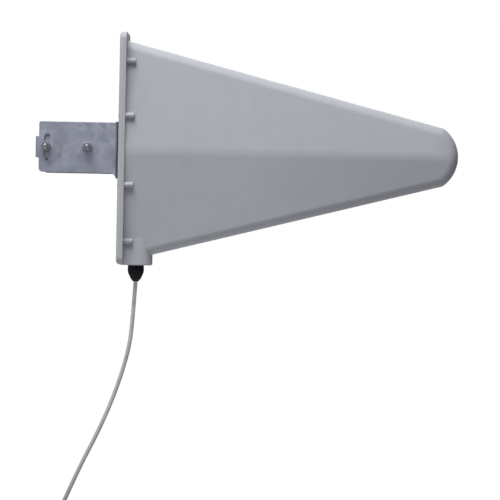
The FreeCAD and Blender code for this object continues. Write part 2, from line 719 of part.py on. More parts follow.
def feed_coax():
    """The lead inside the radome: up from the gland, then forward under the booms to their front ends."""
    route = [
        (GLAND_X, 0, GLAND_NUT_LOW_Z),
        (GLAND_X, 0, -62.0),
        (91.0, 0, -27.0),
        (124.0, 0, COAX_Z),
        (COAX_FRONT_X, 0, COAX_Z),
    ]
    return tube(route, CABLE_RADIUS, "feed_coax", bend=45.0)


def coax_core():
    """The lead's bared centre wire."""
    return rod((COAX_FRONT_X, 0, COAX_Z), (BOOM_FRONT_X + 0.8, 0, COAX_Z), 0.5)


def gland_body():
    low = BLOCK_LOW_Z
    points = [(4.0, low + 10), (GLAND_THREAD, low + 10), (GLAND_THREAD, low), (GLAND_RADIUS, low),
              (GLAND_RADIUS, low - GLAND_FLANGE), (7.0, low - GLAND_FLANGE), (7.0, low - 11.5),
              (5.0, low - 11.5), (5.0, low - 2.0), (4.0, low - 2.0)]
    return turned(points, Vector(GLAND_X, 0, 0))


def gland_locknut():
    return hexagon(Vector(GLAND_X, 0, BLOCK_LOW_Z + 3.0), Z_AXIS, 17.0, LOCKNUT, GLAND_THREAD + 0.05)


def gland_seal():
    return ring((GLAND_X, 0, BLOCK_LOW_Z - 3.0), (GLAND_X, 0, BLOCK_LOW_Z - 11.9), 4.95, CABLE_RADIUS + 0.05)


def gland_nut():
    """The bullet-shaped dome nut that squeezes the seal onto the cable."""
    top = BLOCK_LOW_Z - GLAND_FLANGE - 0.15
    low = GLAND_NUT_LOW_Z

    def at(radius, z):
        return Vector(GLAND_X + radius, 0, z)

    bore = CABLE_RADIUS + 0.1
    side = Part.Arc(at(GLAND_RADIUS, top), at(9.35, top - 6.5), at(7.7, low + 6.6)).toShape()
    dome = Part.Arc(at(7.7, low + 6.6), at(5.9, low + 2.9), at(3.5, low)).toShape()
    corners = [at(3.5, low), at(bore, low), at(bore, low + 8.0), at(5.2, low + 8.0), at(5.2, low + 8.35),
               at(7.1, low + 8.35), at(7.1, top), at(GLAND_RADIUS, top)]
    edges = [side, dome]
    edges += [Part.LineSegment(a, b).toShape() for a, b in zip(corners, corners[1:])]
    face = Part.Face(Part.Wire(edges))
    return face.revolve(Vector(GLAND_X, 0, 0), Z_AXIS, 360)


def cable_coil():
    """The outer shape of the coil: a flat ring whose axis lies across the antenna."""
    near = COIL_CENTRE.y + CABLE_RADIUS + 0.1
    far = TAIL_Y - CABLE_RADIUS - 0.1
    body = ring((COIL_CENTRE.x, near, COIL_CENTRE.z), (COIL_CENTRE.x, far, COIL_CENTRE.z),
                COIL_RADIUS + CABLE_RADIUS + 0.1, COIL_RADIUS - CABLE_RADIUS - 0.1)
    return body.makeFillet(2.2, [edge for edge in body.Edges if edge.Closed])


def cable_tie():
    """A strap round all the turns where the cable enters and leaves the coil."""
    x = ROUTE[-1][0]
    z = ROUTE[-1][2]
    reach = CABLE_RADIUS + 0.25
    inner_y = (TAIL_Y - reach, ROUTE[-1][1] + reach)
    outer_y = (inner_y[0] - TIE, inner_y[1] + TIE)
    height = (z - TIE_WIDTH / 2, z + TIE_WIDTH / 2)
    band = box((x - reach - TIE, x + reach + TIE), outer_y, height)
    band = band.makeFillet(2.4, edges_along(band, Z_AXIS, lambda at: True))
    space = box((x - reach, x + reach), inner_y, (height[0] - 1, height[1] + 1))
    space = space.makeFillet(1.2, edges_along(space, Z_AXIS, lambda at: True))
    head = box((x - reach - TIE - 3.0, x - reach - 0.4), (-41.0, -33.0), (height[0] - 0.8, height[1] + 0.8))
    return fused([band.cut(space), head.makeFillet(0.7, edges_along(head, Z_AXIS, lambda at: at.x < x - 5))])


def port_ring(points):
    return turned(points, Vector(PORT_X, PORT_Y, 0))


def connector_sleeve():
    bore = CABLE_RADIUS + 0.05
    grip = FERRULE_RADIUS + 0.05
    return port_ring([(bore, SLEEVE_TOP_Z), (3.3, SLEEVE_TOP_Z), (3.4, FERRULE_TOP_Z + 2.5),
                      (4.4, FERRULE_TOP_Z - 0.5), (4.4, SLEEVE_LOW_Z), (grip, SLEEVE_LOW_Z),
                      (grip, FERRULE_TOP_Z + 0.05), (bore, FERRULE_TOP_Z + 0.05)])


def crimp_ferrule():
    return port_ring([(CABLE_RADIUS + 0.05, FERRULE_TOP_Z), (FERRULE_RADIUS, FERRULE_TOP_Z),
                      (FERRULE_RADIUS, PORT_TOP_Z), (CABLE_RADIUS + 0.05, PORT_TOP_Z)])


def connector_body():
    """A panel-free threaded jack: a hexagon behind, the coupling thread ahead, the socket inside."""
    low = PORT_TOP_Z - PORT_HEX - PORT_THREAD
    flats = hexagon(Vector(PORT_X, PORT_Y, PORT_TOP_Z), Z_AXIS * -1, 17.5, PORT_HEX)
    barrel = port_ring([(0, PORT_TOP_Z - PORT_HEX), (PORT_THREAD_RADIUS, PORT_TOP_Z - PORT_HEX),
                        (PORT_THREAD_RADIUS, low), (0, low)])
    socket = port_ring([(0, low - 1), (6.2, low - 1), (6.2, low + 2.5), (4.3, low + 4.5), (4.3, low + 14),
                        (2.0, low + 14), (2.0, PORT_TOP_Z + 1), (0, PORT_TOP_Z + 1)])
    return fused([flats, barrel]).cut(socket)


def connector_insulator():
    low = PORT_TOP_Z - PORT_HEX - PORT_THREAD
    return port_ring([(1.65, low + 5), (4.2, low + 5), (4.2, low + 13.9), (1.65, low + 13.9)])


def connector_contact():
    low = PORT_TOP_Z - PORT_HEX - PORT_THREAD
    return port_ring([(0.85, low + 3.2), (1.6, low + 3.2), (1.6, low + 16), (0, low + 16), (0, low + 7),
                      (0.85, low + 7)])


# ------------------------------------------------------------------- all nodes

def main():
    os.makedirs("parts", exist_ok=True)
    saved("mast_strap", mast_strap())
    saved("pivot_bolt", clamp_bolt(BOLT_OFFSET))
    saved("lock_bolt", clamp_bolt(-BOLT_OFFSET))
    saved("clamp_washers", clamp_washers())
    saved("clamp_spring_washers", spring_washers())
    saved("clamp_nuts", clamp_nuts())

    saved("tilt_bracket", tilt_bracket())
    saved("bracket_screws", bracket_screws())
    saved("bracket_washers", bracket_washers())
    saved("bracket_nuts", bracket_nuts())
    saved("backing_plate", backing_plate())

    saved("radome_shell", radome_shell())
    saved("rear_cover", rear_cover())
    saved("cover_gasket", gasket_ring(0))
    saved("cover_screws", cover_screws())

    saved("boom_mount", boom_mount())
    saved("boom_pins", boom_pins())
    saved("boom_left", boom(1))
    saved("boom_right", boom(-1))
    for number in range(DIPOLES):
        saved("dipole_%02d" % (number + 1), dipole(number))
    saved("dipole_nuts", dipole_nuts())
    saved("boom_spacers", [boom_spacer(x) for x in SPACER_PLACES])
    saved("nose_pad", nose_pad())
    saved("feed_shield_tab", feed_shield_tab())
    saved("feed_core_tab", feed_core_tab())

    saved("feed_coax", feed_coax())
    saved("coax_core", coax_core())
    saved("gland_body", gland_body())
    saved("gland_locknut", gland_locknut())
    saved("gland_seal", gland_seal())
    saved("gland_nut", gland_nut())
    saved("cable", tube(ROUTE, CABLE_RADIUS, "cable"))
    saved("cable_coil", cable_coil())
    saved("cable_tail", tube(TAIL, CABLE_RADIUS, "cable_tail"))
    saved("cable_tie", cable_tie())
    saved("connector_sleeve", connector_sleeve())
    saved("crimp_ferrule", crimp_ferrule())
    saved("connector_body", connector_body())
    saved("connector_insulator", connector_insulator())
    saved("connector_contact", connector_contact())


main()
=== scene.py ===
"""Looks of the mast-mounted log-periodic antenna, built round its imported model.

Metres, in the part's own frame: the mast stands along Z at the origin, and the antenna points along +X.
"""
import math

import bmesh
import bpy
from mathutils import Matrix, Vector


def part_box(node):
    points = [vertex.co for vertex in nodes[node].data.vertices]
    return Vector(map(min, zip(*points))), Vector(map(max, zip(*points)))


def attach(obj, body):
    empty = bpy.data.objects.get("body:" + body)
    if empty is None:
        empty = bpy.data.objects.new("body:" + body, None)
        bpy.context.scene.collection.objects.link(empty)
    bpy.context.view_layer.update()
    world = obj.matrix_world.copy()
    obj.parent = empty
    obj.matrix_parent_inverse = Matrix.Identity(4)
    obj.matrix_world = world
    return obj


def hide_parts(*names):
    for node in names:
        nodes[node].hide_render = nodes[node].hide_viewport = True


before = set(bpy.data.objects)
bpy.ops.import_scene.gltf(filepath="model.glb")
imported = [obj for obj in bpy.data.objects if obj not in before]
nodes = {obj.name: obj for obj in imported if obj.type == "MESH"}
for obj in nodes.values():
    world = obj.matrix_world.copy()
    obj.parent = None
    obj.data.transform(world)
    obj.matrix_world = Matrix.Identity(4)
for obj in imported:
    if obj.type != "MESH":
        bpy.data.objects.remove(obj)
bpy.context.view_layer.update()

MM = 0.001
TAU = 2 * math.pi

# ------------------------------------------------------------------------- camera
# The angles are in radians, from a level look along +Y. The lens is in millimetres.
CAMERA_PLACE = (0.2404, -2.4, -0.0809)
CAMERA_YAW = -0.0072
CAMERA_PITCH = -0.0163
CAMERA_ROLL = 0.0205
CAMERA_LENS = 141.8
CAMERA_REACH = 20.0


def make_camera():
    camera = bpy.data.objects.new("camera", bpy.data.cameras.new("camera"))
    camera.data.lens = CAMERA_LENS
    camera.data.clip_end = CAMERA_REACH
    turn = (Matrix.Rotation(-CAMERA_YAW, 4, "Z")
            @ Matrix.Rotation(math.pi / 2 + CAMERA_PITCH, 4, "X")
            @ Matrix.Rotation(CAMERA_ROLL, 4, "Z"))
    camera.matrix_world = Matrix.Translation(CAMERA_PLACE) @ turn
    bpy.context.scene.collection.objects.link(camera)
    bpy.context.scene.camera = camera


make_camera()

# -------------------------------------------------------------------------- cable
# The route, the coil and the tail are the ones in the CAD source.
CABLE_DIAMETER = 0.005
ROUTE = (
    (0.0844, 0.0, -0.161),
    (0.0823, -0.0005, -0.198),
    (0.0793, -0.0025, -0.237),
    (0.07, -0.006, -0.2735),
    (0.0588, -0.012, -0.307),
    (0.0439, -0.019, -0.343),
    (0.0261, -0.025, -0.379),
    (0.0105, -0.028, -0.414),
    (-0.0018, -0.0285, -0.443),
    (-0.005, -0.0285, -0.468),
)
COIL_RADIUS = 0.03
COIL_TURNS = 3
COIL_PITCH = 0.0052
POINTS_PER_TURN = 16
TAIL_Y = ROUTE[-1][1] - COIL_TURNS * COIL_PITCH
TAIL = (
    (-0.005, TAIL_Y, -0.468),
    (-0.0056, TAIL_Y - 0.001, -0.49),
    (-0.0035, TAIL_Y - 0.0004, -0.512),
)
TUBE_RESOLUTION = 6                  # it gives the tube 16 sides
STEPS_PER_POINT = 8


def coil_points():
    """The coil's turns, from just after the route's last point to just before the tail's first one."""
    x, y, z = ROUTE[-1]
    points = []
    for step in range(1, COIL_TURNS * POINTS_PER_TURN):
        turns = step / POINTS_PER_TURN
        angle = TAU * turns
        points.append((x + COIL_RADIUS * (1 - math.cos(angle)), y - COIL_PITCH * turns,
                       z - COIL_RADIUS * math.sin(angle)))
    return points


def mesh_of(curve, thickness):
    """The curve as a mesh: its own line with no thickness, or a closed tube."""
    curve.bevel_depth = thickness / 2
    holder = bpy.data.objects.new("holder", curve)
    mesh = bpy.data.meshes.new_from_object(holder)
    bpy.data.objects.remove(holder)
    return mesh


def make_cable():
    """One smooth line from the gland through the coil to the connector, and the tube along it."""
    points = list(ROUTE) + coil_points() + list(TAIL)
    curve = bpy.data.curves.new("coax_lead", "CURVE")
    curve.dimensions = "3D"
    curve.bevel_resolution = TUBE_RESOLUTION
    curve.resolution_u = STEPS_PER_POINT
    curve.use_fill_caps = True
    spline = curve.splines.new("NURBS")
    spline.points.add(len(points) - 1)
    for point, place in zip(spline.points, points):
        point.co = (*place, 1.0)
    spline.order_u = 3
    spline.use_endpoint_u = True
    line = [tuple(vertex.co) for vertex in mesh_of(curve, 0.0).vertices]
    lead = bpy.data.objects.new("coax_lead", mesh_of(curve, CABLE_DIAMETER))
    bpy.context.scene.collection.objects.link(lead)
    lead.data.shade_smooth()
    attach(lead, "antenna")
    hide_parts("cable", "cable_coil", "cable_tail")
    return lead, line


cable, cable_line = make_cable()


# -------------------------------------------------------------------------- light
FILL_COLOUR = (0.94, 0.96, 1.0, 1.0)
FILL_AXIS = (-0.42, -0.08, 0.90)     # the surroundings brighten this way
FILL_SPAN = (-0.75, 0.65)
FILL_WEAK = 0.035
FILL_STRONG = 0.41
KEY_PLACE = (-0.30, -0.93, 2.21)
LIGHTS_AIM = (0.2, 0.0, -0.05)
KEY_SIZE = 1.3
KEY_POWER = 70.0
KEY_COLOUR = (1.0, 0.99, 0.97)
BACK_PLACE = (0.25, 1.5, 0.9)
BACK_SIZE = 1.0
BACK_POWER = 11.0
BACK_COLOUR = (0.96, 0.98, 1.0)


def area_light(name, place, aim, size, power, colour):
    light = bpy.data.lights.new(name, "AREA")
    light.size = size
    light.energy = power
    light.color = colour
    lamp = bpy.data.objects.new(name, light)
    lamp.location = place
    lamp.rotation_mode = "QUATERNION"
    lamp.rotation_quaternion = (Vector(aim) - Vector(place)).to_track_quat("-Z", "Y")
    lamp.visible_camera = False
    bpy.context.scene.collection.objects.link(lamp)


def make_world():
    """A white backdrop to look at, and a soft light that fades from high on the left to low on the right."""
    world = bpy.data.worlds.new("studio")
    bpy.context.scene.world = world
    world.use_nodes = True
    tree = world.node_tree
    tree.nodes.clear()
    seen = tree.nodes.new("ShaderNodeBackground")
    seen.inputs["Color"].default_value = (1.0, 1.0, 1.0, 1.0)
    fill = tree.nodes.new("ShaderNodeBackground")
    fill.inputs["Color"].default_value = FILL_COLOUR
    direction = tree.nodes.new("ShaderNodeTexCoord")
    along = tree.nodes.new("ShaderNodeVectorMath")
    along.operation = "DOT_PRODUCT"
    along.inputs[1].default_value = FILL_AXIS
    strength = tree.nodes.new("ShaderNodeMapRange")
    limits = zip(("From Min", "From Max", "To Min", "To Max"), (*FILL_SPAN, FILL_WEAK, FILL_STRONG))
    for name, number in limits:
        strength.inputs[name].default_value = number
    path = tree.nodes.new("ShaderNodeLightPath")
    either = tree.nodes.new("ShaderNodeMixShader")
    out = tree.nodes.new("ShaderNodeOutputWorld")
    for source, target in ((direction.outputs["Generated"], along.inputs[0]),
                           (along.outputs["Value"], strength.inputs["Value"]),
                           (strength.outputs["Result"], fill.inputs["Strength"]),
                           (path.outputs["Is Camera Ray"], either.inputs["Fac"]),
                           (fill.outputs["Background"], either.inputs[1]),
                           (seen.outputs["Background"], either.inputs[2]),
                           (either.outputs["Shader"], out.inputs["Surface"])):
        tree.links.new(source, target)


make_world()
area_light("key", KEY_PLACE, LIGHTS_AIM, KEY_SIZE, KEY_POWER, KEY_COLOUR)
area_light("back", BACK_PLACE, LIGHTS_AIM, BACK_SIZE, BACK_POWER, BACK_COLOUR)
bpy.context.scene.view_settings.view_transform = "Standard"


# ---------------------------------------------------------------------- materials
class Surface:
    """A procedural material: one principled shader with patterns in the part's own coordinates."""

    def __init__(self, name, metallic=0.0, ior=1.5):
        self.material = bpy.data.materials.new(name)
        self.material.use_nodes = True
        self.tree = self.material.node_tree
        self.shader = self.tree.nodes["Principled BSDF"]
        self.shader.inputs["Metallic"].default_value = metallic
        self.shader.inputs["IOR"].default_value = ior
        self.place = self.tree.nodes.new("ShaderNodeTexCoord").outputs["Object"]
        self.normal = None

    def put(self, socket, value):
        if isinstance(value, bpy.types.NodeSocket):
            self.tree.links.new(value, socket)
        else:
            socket.default_value = value

    def stretched(self, x, y, z, shift=(0.0, 0.0, 0.0)):
        """The place times a scale along each axis, then shifted."""
        mapping = self.tree.nodes.new("ShaderNodeMapping")
        self.put(mapping.inputs["Vector"], self.place)
        mapping.inputs["Scale"].default_value = (x, y, z)
        mapping.inputs["Location"].default_value = shift
        return mapping.outputs["Vector"]

    def noise(self, scale, detail=3.0, place=None):
        node = self.tree.nodes.new("ShaderNodeTexNoise")
        self.put(node.inputs["Vector"], place or self.place)
        node.inputs["Scale"].default_value = scale
        node.inputs["Detail"].default_value = detail
        node.inputs["Roughness"].default_value = 0.55
        return node.outputs["Fac"]

    def cells(self, scale, output="Color"):
        node = self.tree.nodes.new("ShaderNodeTexVoronoi")
        self.put(node.inputs["Vector"], self.place)
        node.inputs["Scale"].default_value = scale
        return node.outputs[output]

    def spread(self, value, low, high, to_low=0.0, to_high=1.0):
        """Takes low..high to to_low..to_high, and holds it there."""
        node = self.tree.nodes.new("ShaderNodeMapRange")
        self.put(node.inputs["Value"], value)
        for name, number in (("From Min", low), ("From Max", high), ("To Min", to_low), ("To Max", to_high)):
            node.inputs[name].default_value = number
        return node.outputs["Result"]

    def maths(self, kind, a, b):
        node = self.tree.nodes.new("ShaderNodeMath")
        node.operation = kind
        self.put(node.inputs[0], a)
        self.put(node.inputs[1], b)
        return node.outputs["Value"]

    def facing_up(self):
        """The vertical part of the surface's own direction, from -1 to 1."""
        node = self.tree.nodes.new("ShaderNodeSeparateXYZ")
        self.put(node.inputs["Vector"], self.place.node.outputs["Normal"])
        return node.outputs["Z"]

    def distance(self, centre, keep):
        """How far a place is from a centre, counting only the axes that keep has as 1."""
        node = self.tree.nodes.new("ShaderNodeVectorMath")
        node.operation = "LENGTH"
        shift = tuple(-c * k for c, k in zip(centre, keep))
        self.put(node.inputs[0], self.stretched(*keep, shift=shift))
        return node.outputs["Value"]

    def blend(self, factor, a, b):
        node = self.tree.nodes.new("ShaderNodeMix")
        node.data_type = "RGBA"
        self.put(node.inputs["Factor"], factor)
        for socket, value in ((node.inputs[6], a), (node.inputs[7], b)):
            self.put(socket, value if isinstance(value, bpy.types.NodeSocket) else (*value, 1.0))
        return node.outputs[2]

    def coloured(self, value):
        self.put(self.shader.inputs["Base Color"], value)

    def roughened(self, value):
        self.put(self.shader.inputs["Roughness"], value)

    def rounded(self, radius):
        """Catches light along sharp edges as a small real radius would."""
        node = self.tree.nodes.new("ShaderNodeBevel")
        node.samples = 4
        node.inputs["Radius"].default_value = radius
        self.turned_normal(node.outputs["Normal"])

    def bumped(self, height, distance, strength):
        """Adds relief, in metres, on top of any relief that is there."""
        node = self.tree.nodes.new("ShaderNodeBump")
        self.put(node.inputs["Height"], height)
        node.inputs["Distance"].default_value = distance
        node.inputs["Strength"].default_value = strength
        if self.normal is not None:
            self.put(node.inputs["Normal"], self.normal)
        self.turned_normal(node.outputs["Normal"])

    def turned_normal(self, value):
        self.normal = value
        self.put(self.shader.inputs["Normal"], value)


def radome_plastic():
    """Light grey plastic: fine moulded grain, rain streaks, and painted shade on upward-facing surfaces, on the
    lower facets towards the nose and at the nose.
    """
    skin = Surface("radome_plastic", ior=1.48)
    skin.shader.inputs["Specular IOR Level"].default_value = 0.28
    drift = skin.noise(7.0, detail=2.0)
    patches = skin.noise(42.0, detail=4.0)
    tone_and_light = skin.blend(drift, (0.468, 0.485, 0.530), (0.512, 0.524, 0.562))
    mottled = skin.blend(skin.spread(patches, 0.35, 0.75, 0.0, 0.35), tone_and_light, (0.450, 0.462, 0.495))
    streaks = skin.noise(1.0, detail=3.0, place=skin.stretched(150.0, 150.0, 7.0))
    stained = skin.blend(skin.spread(streaks, 0.50, 0.80, 0.0, 0.22), mottled, (0.400, 0.410, 0.430))
    forward = skin.distance((0.0, 0.0, 0.0), (1.0, 0.0, 0.0))
    depth = skin.distance((0.0, 0.0, CREASE_Z + 1.0), (0.0, 0.0, 1.0))      # 1 m at the crease
    # The lower facets darker towards the nose: painted shade.
    lower_facet_shade = skin.maths("MULTIPLY", skin.spread(forward, *LOWER_FACET_SHADE, 0.0, 0.75),
                       skin.spread(depth, 1.0 - CREASE_BLUR, 1.0 + CREASE_BLUR))
    # The nose darker: painted shade.
    nose_shade = skin.spread(forward, NOSE_X - NOSE_SHADE, NOSE_X, 0.0, 0.95)
    # Upward-facing surfaces darker: painted shade that tones down the light from above.
    top_shaded = skin.blend(skin.spread(skin.facing_up(), 0.15, 0.75, 0.0, 0.55), stained, (0.375, 0.390, 0.430))
    # The painted shade of the lower facets and of the nose is laid on here.
    wear_and_shade = skin.blend(skin.maths("MAXIMUM", lower_facet_shade, nose_shade), top_shaded, (0.395, 0.407, 0.440))
    specks = skin.spread(skin.cells(420.0, "Distance"), 0.0, 0.13, 0.30, 0.0)
    skin.coloured(skin.blend(specks, wear_and_shade, (0.30, 0.30, 0.30)))
    skin.roughened(skin.spread(patches, 0.3, 0.7, 0.50, 0.66))
    skin.rounded(0.0004)
    skin.bumped(skin.noise(55.0, detail=1.0), 0.0006, 0.12)
    skin.bumped(skin.noise(1500.0, detail=2.0), 0.00012, 0.35)
    return skin.material


def galvanised_sheet():
    """Zinc-dipped sheet: pale spangle, dull bloom and scuffs round the bolts, with painted shade in the fold
    against the rear cover and the mast's shadow painted on the inner faces.
    """
    sheet = Surface("galvanised_sheet", metallic=1.0)
    warp = sheet.noise(55.0, detail=2.0)
    spangle = sheet.cells(95.0)
    small = sheet.cells(260.0)
    tone = sheet.maths("ADD", sheet.maths("MULTIPLY", spangle, 0.7), sheet.maths("MULTIPLY", small, 0.3))
    zinc = sheet.blend(tone, (0.495, 0.508, 0.625), (0.630, 0.650, 0.765))
    bloom = sheet.blend(sheet.spread(warp, 0.40, 0.70, 0.0, 0.4), zinc, (0.520, 0.550, 0.635))
    scratch_field = sheet.noise(1.0, detail=3.0, place=sheet.stretched(110.0, 500.0, 1500.0))
    scratches = sheet.spread(scratch_field, 0.62, 0.80, 0.0, 0.35)
    wear_and_shade = sheet.blend(scratches, bloom, (0.66, 0.66, 0.71))
    for bolt in BOLTS:
        far = sheet.distance(middle_of(bolt), (1.0, 0.0, 1.0))
        ring = sheet.maths("MULTIPLY", sheet.spread(far, *SCUFF_START),
                           sheet.spread(far, *SCUFF_END, 1.0, 0.0))
        rubbed = sheet.maths("MULTIPLY", ring, sheet.spread(sheet.noise(420.0), 0.42, 0.62, 0.0, 0.6))
        wear_and_shade = sheet.blend(rubbed, wear_and_shade, (0.74, 0.74, 0.77))
    # The bracket's inner faces darker: painted shadow of the mast.
    across = sheet.distance((0.0, 0.0, 0.0), (0.0, 1.0, 0.0))
    inner_face_shadow = sheet.maths("MULTIPLY", sheet.spread(across, *MAST_SHADOW_START),
                         sheet.spread(across, *MAST_SHADOW_END, 0.8, 0.0))
    mast_shadowed = sheet.blend(inner_face_shadow, wear_and_shade, (0.14, 0.145, 0.17))
    # Darker along the bend that lies against the rear cover: painted shade in the crevice.
    fold_shade = sheet.spread(sheet.distance((FOLD_X, 0.0, 0.0), (1.0, 0.0, 0.0)), 0.0, FOLD_SHADE_REACH, 0.95, 0.0)
    sheet.coloured(sheet.blend(fold_shade, mast_shadowed, (0.06, 0.06, 0.075)))
    sheet.roughened(sheet.maths("ADD", sheet.spread(warp, 0.3, 0.7, 0.36, 0.48),
                                sheet.maths("MULTIPLY", tone, 0.16)))
    sheet.rounded(0.00035)
    sheet.bumped(sheet.noise(120.0, detail=3.0), 0.0003, 0.12)
    sheet.bumped(scratches, 0.00005, 0.4)
    return sheet.material


def plated_steel():
    """Bright zinc plate on fasteners: a cool sheen, fine turning marks and grime."""
    steel = Surface("plated_steel", metallic=1.0)
    patches = steel.noise(260.0, detail=4.0)
    plate = steel.blend(patches, (0.36, 0.375, 0.42), (0.54, 0.555, 0.60))
    grime = steel.spread(steel.noise(480.0, detail=3.0), 0.48, 0.72, 0.0, 0.7)
    steel.coloured(steel.blend(grime, plate, (0.13, 0.135, 0.15)))
    steel.roughened(steel.spread(patches, 0.3, 0.7, 0.32, 0.50))
    steel.rounded(0.00025)
    steel.bumped(steel.noise(2600.0, detail=2.0), 0.00003, 0.35)
    return steel.material


def black_rubber():
    rubber = Surface("black_rubber", ior=1.52)
    bloom = rubber.noise(180.0, detail=4.0)
    rubber.coloured(rubber.blend(rubber.spread(bloom, 0.45, 0.75), (0.016, 0.016, 0.017),
                                 (0.055, 0.055, 0.056)))
    rubber.roughened(rubber.spread(bloom, 0.3, 0.7, 0.60, 0.82))
    rubber.bumped(rubber.noise(1800.0), 0.00008, 0.5)
    return rubber.material


def aluminium():
    """Drawn aluminium: die lines along the booms and along the rods, with dull oxide patches."""
    metal = Surface("aluminium", metallic=1.0)
    boom_lines = metal.noise(1.0, detail=2.0, place=metal.stretched(12.0, 1600.0, 1600.0))
    rod_lines = metal.noise(1.0, detail=2.0, place=metal.stretched(1600.0, 1600.0, 12.0))
    lines = metal.maths("MULTIPLY", metal.maths("ADD", boom_lines, rod_lines), 0.5)
    oxide = metal.noise(90.0, detail=4.0)
    bright = metal.blend(lines, (0.70, 0.71, 0.73), (0.82, 0.83, 0.84))
    metal.coloured(metal.blend(metal.spread(oxide, 0.45, 0.7, 0.0, 0.5), bright, (0.62, 0.63, 0.64)))
    metal.roughened(metal.spread(oxide, 0.3, 0.7, 0.28, 0.46))
    metal.rounded(0.0003)
    metal.bumped(lines, 0.00006, 0.4)
    return metal.material


def white_nylon():
    nylon = Surface("white_nylon", ior=1.53)
    nylon.shader.inputs["Subsurface Weight"].default_value = 0.12
    nylon.shader.inputs["Subsurface Scale"].default_value = 0.002
    cloud = nylon.noise(70.0, detail=3.0)
    nylon.coloured(nylon.blend(cloud, (0.72, 0.70, 0.64), (0.80, 0.79, 0.75)))
    nylon.roughened(nylon.spread(cloud, 0.3, 0.7, 0.36, 0.50))
    nylon.rounded(0.0003)
    nylon.bumped(nylon.noise(1400.0), 0.00005, 0.3)
    return nylon.material


def dark_foam():
    """Closed-cell foam: small dark pores in a grey-black body."""
    foam = Surface("dark_foam")
    pores = foam.cells(900.0, "Distance")
    foam.coloured(foam.blend(foam.spread(pores, 0.1, 0.6), (0.018, 0.018, 0.020), (0.075, 0.075, 0.080)))
    foam.roughened(foam.spread(foam.noise(200.0), 0.3, 0.7, 0.86, 0.98))
    foam.bumped(pores, 0.0006, 0.9)
    return foam.material


def brass():
    metal = Surface("brass", metallic=1.0)
    tarnish = metal.noise(320.0, detail=4.0)
    metal.coloured(metal.blend(metal.spread(tarnish, 0.4, 0.7), (0.78, 0.58, 0.26), (0.50, 0.34, 0.15)))
    metal.roughened(metal.spread(tarnish, 0.3, 0.7, 0.20, 0.42))
    metal.bumped(metal.noise(1.0, place=metal.stretched(400.0, 400.0, 6000.0)), 0.00003, 0.4)
    return metal.material


def copper_wire():
    metal = Surface("copper_wire", metallic=1.0)
    tarnish = metal.noise(240.0, detail=4.0)
    metal.coloured(metal.blend(metal.spread(tarnish, 0.4, 0.7), (0.86, 0.46, 0.30), (0.48, 0.24, 0.17)))
    metal.roughened(metal.spread(tarnish, 0.3, 0.7, 0.22, 0.45))
    metal.bumped(metal.noise(1.0, place=metal.stretched(40.0, 2500.0, 2500.0)), 0.00004, 0.5)
    return metal.material


def cable_jacket():
    """Matt grey jacket: the braid just showing through, painted light just below the gland where the radome
    shades it, and painted shade further down.
    """
    jacket = Surface("cable_jacket")
    dust = jacket.noise(60.0, detail=4.0)
    base = jacket.blend(jacket.noise(14.0), (0.460, 0.476, 0.507), (0.502, 0.518, 0.549))
    below = jacket.distance((0.0, 0.0, ROUTE[0][2]), (0.0, 0.0, 1.0))
    # Lighter just below the gland: painted light against the radome's shadow.
    tone_and_light = jacket.blend(jacket.spread(below, 0.0, GLAND_LIGHT_REACH, 1.0, 0.0), base, (0.730, 0.745, 0.770))
    # Darker further down the lead: painted shade.
    lower_shaded = jacket.blend(jacket.spread(below, *LEAD_SHADE, 0.0, 0.7), tone_and_light, (0.360, 0.375, 0.410))
    dusty = jacket.blend(jacket.spread(dust, 0.48, 0.70, 0.0, 0.7), lower_shaded, (0.345, 0.350, 0.360))
    specks = jacket.spread(jacket.noise(520.0, detail=4.0), 0.56, 0.70, 0.0, 0.55)
    jacket.coloured(jacket.blend(specks, dusty, (0.27, 0.27, 0.275)))
    jacket.roughened(jacket.spread(dust, 0.3, 0.7, 0.40, 0.62))
    jacket.bumped(jacket.cells(900.0, "Distance"), 0.00012, 0.7)
    jacket.bumped(jacket.noise(2400.0), 0.00004, 0.3)
    return jacket.material


def black_nylon():
    """Glass-filled nylon: nearly black, lightly pitted, with a faint grey bloom."""
    nylon = Surface("black_nylon", ior=1.53)
    bloom = nylon.noise(150.0, detail=4.0)
    nylon.coloured(nylon.blend(nylon.spread(bloom, 0.45, 0.75), (0.0030, 0.0030, 0.0045),
                               (0.010, 0.010, 0.014)))
    nylon.roughened(nylon.spread(bloom, 0.3, 0.7, 0.48, 0.66))
    nylon.shader.inputs["Specular IOR Level"].default_value = 0.25
    nylon.bumped(nylon.noise(2000.0), 0.00006, 0.4)
    return nylon.material


def black_sleeve():
    """Heat-shrunk sleeve: lengthwise drawing marks and a soft waxy sheen."""
    sleeve = Surface("black_sleeve")
    drawn = sleeve.noise(1.0, detail=3.0, place=sleeve.stretched(900.0, 900.0, 60.0))
    sleeve.coloured(sleeve.blend(drawn, (0.012, 0.012, 0.013), (0.036, 0.036, 0.038)))
    sleeve.roughened(sleeve.spread(drawn, 0.3, 0.7, 0.34, 0.54))
    sleeve.bumped(drawn, 0.00012, 0.45)
    return sleeve.material


def nickel_plate():
    """Nickel on turned brass: warm grey, with fine rings from the lathe."""
    metal = Surface("nickel_plate", metallic=1.0)
    rings = metal.noise(1.0, detail=2.0, place=metal.stretched(60.0, 60.0, 5200.0))
    haze = metal.noise(210.0, detail=4.0)
    bright = metal.blend(rings, (0.62, 0.59, 0.54), (0.72, 0.69, 0.64))
    metal.coloured(metal.blend(metal.spread(haze, 0.5, 0.75, 0.0, 0.5), bright, (0.46, 0.43, 0.38)))
    metal.roughened(metal.spread(haze, 0.3, 0.7, 0.16, 0.34))
    metal.rounded(0.0002)
    metal.bumped(rings, 0.00002, 0.35)
    return metal.material


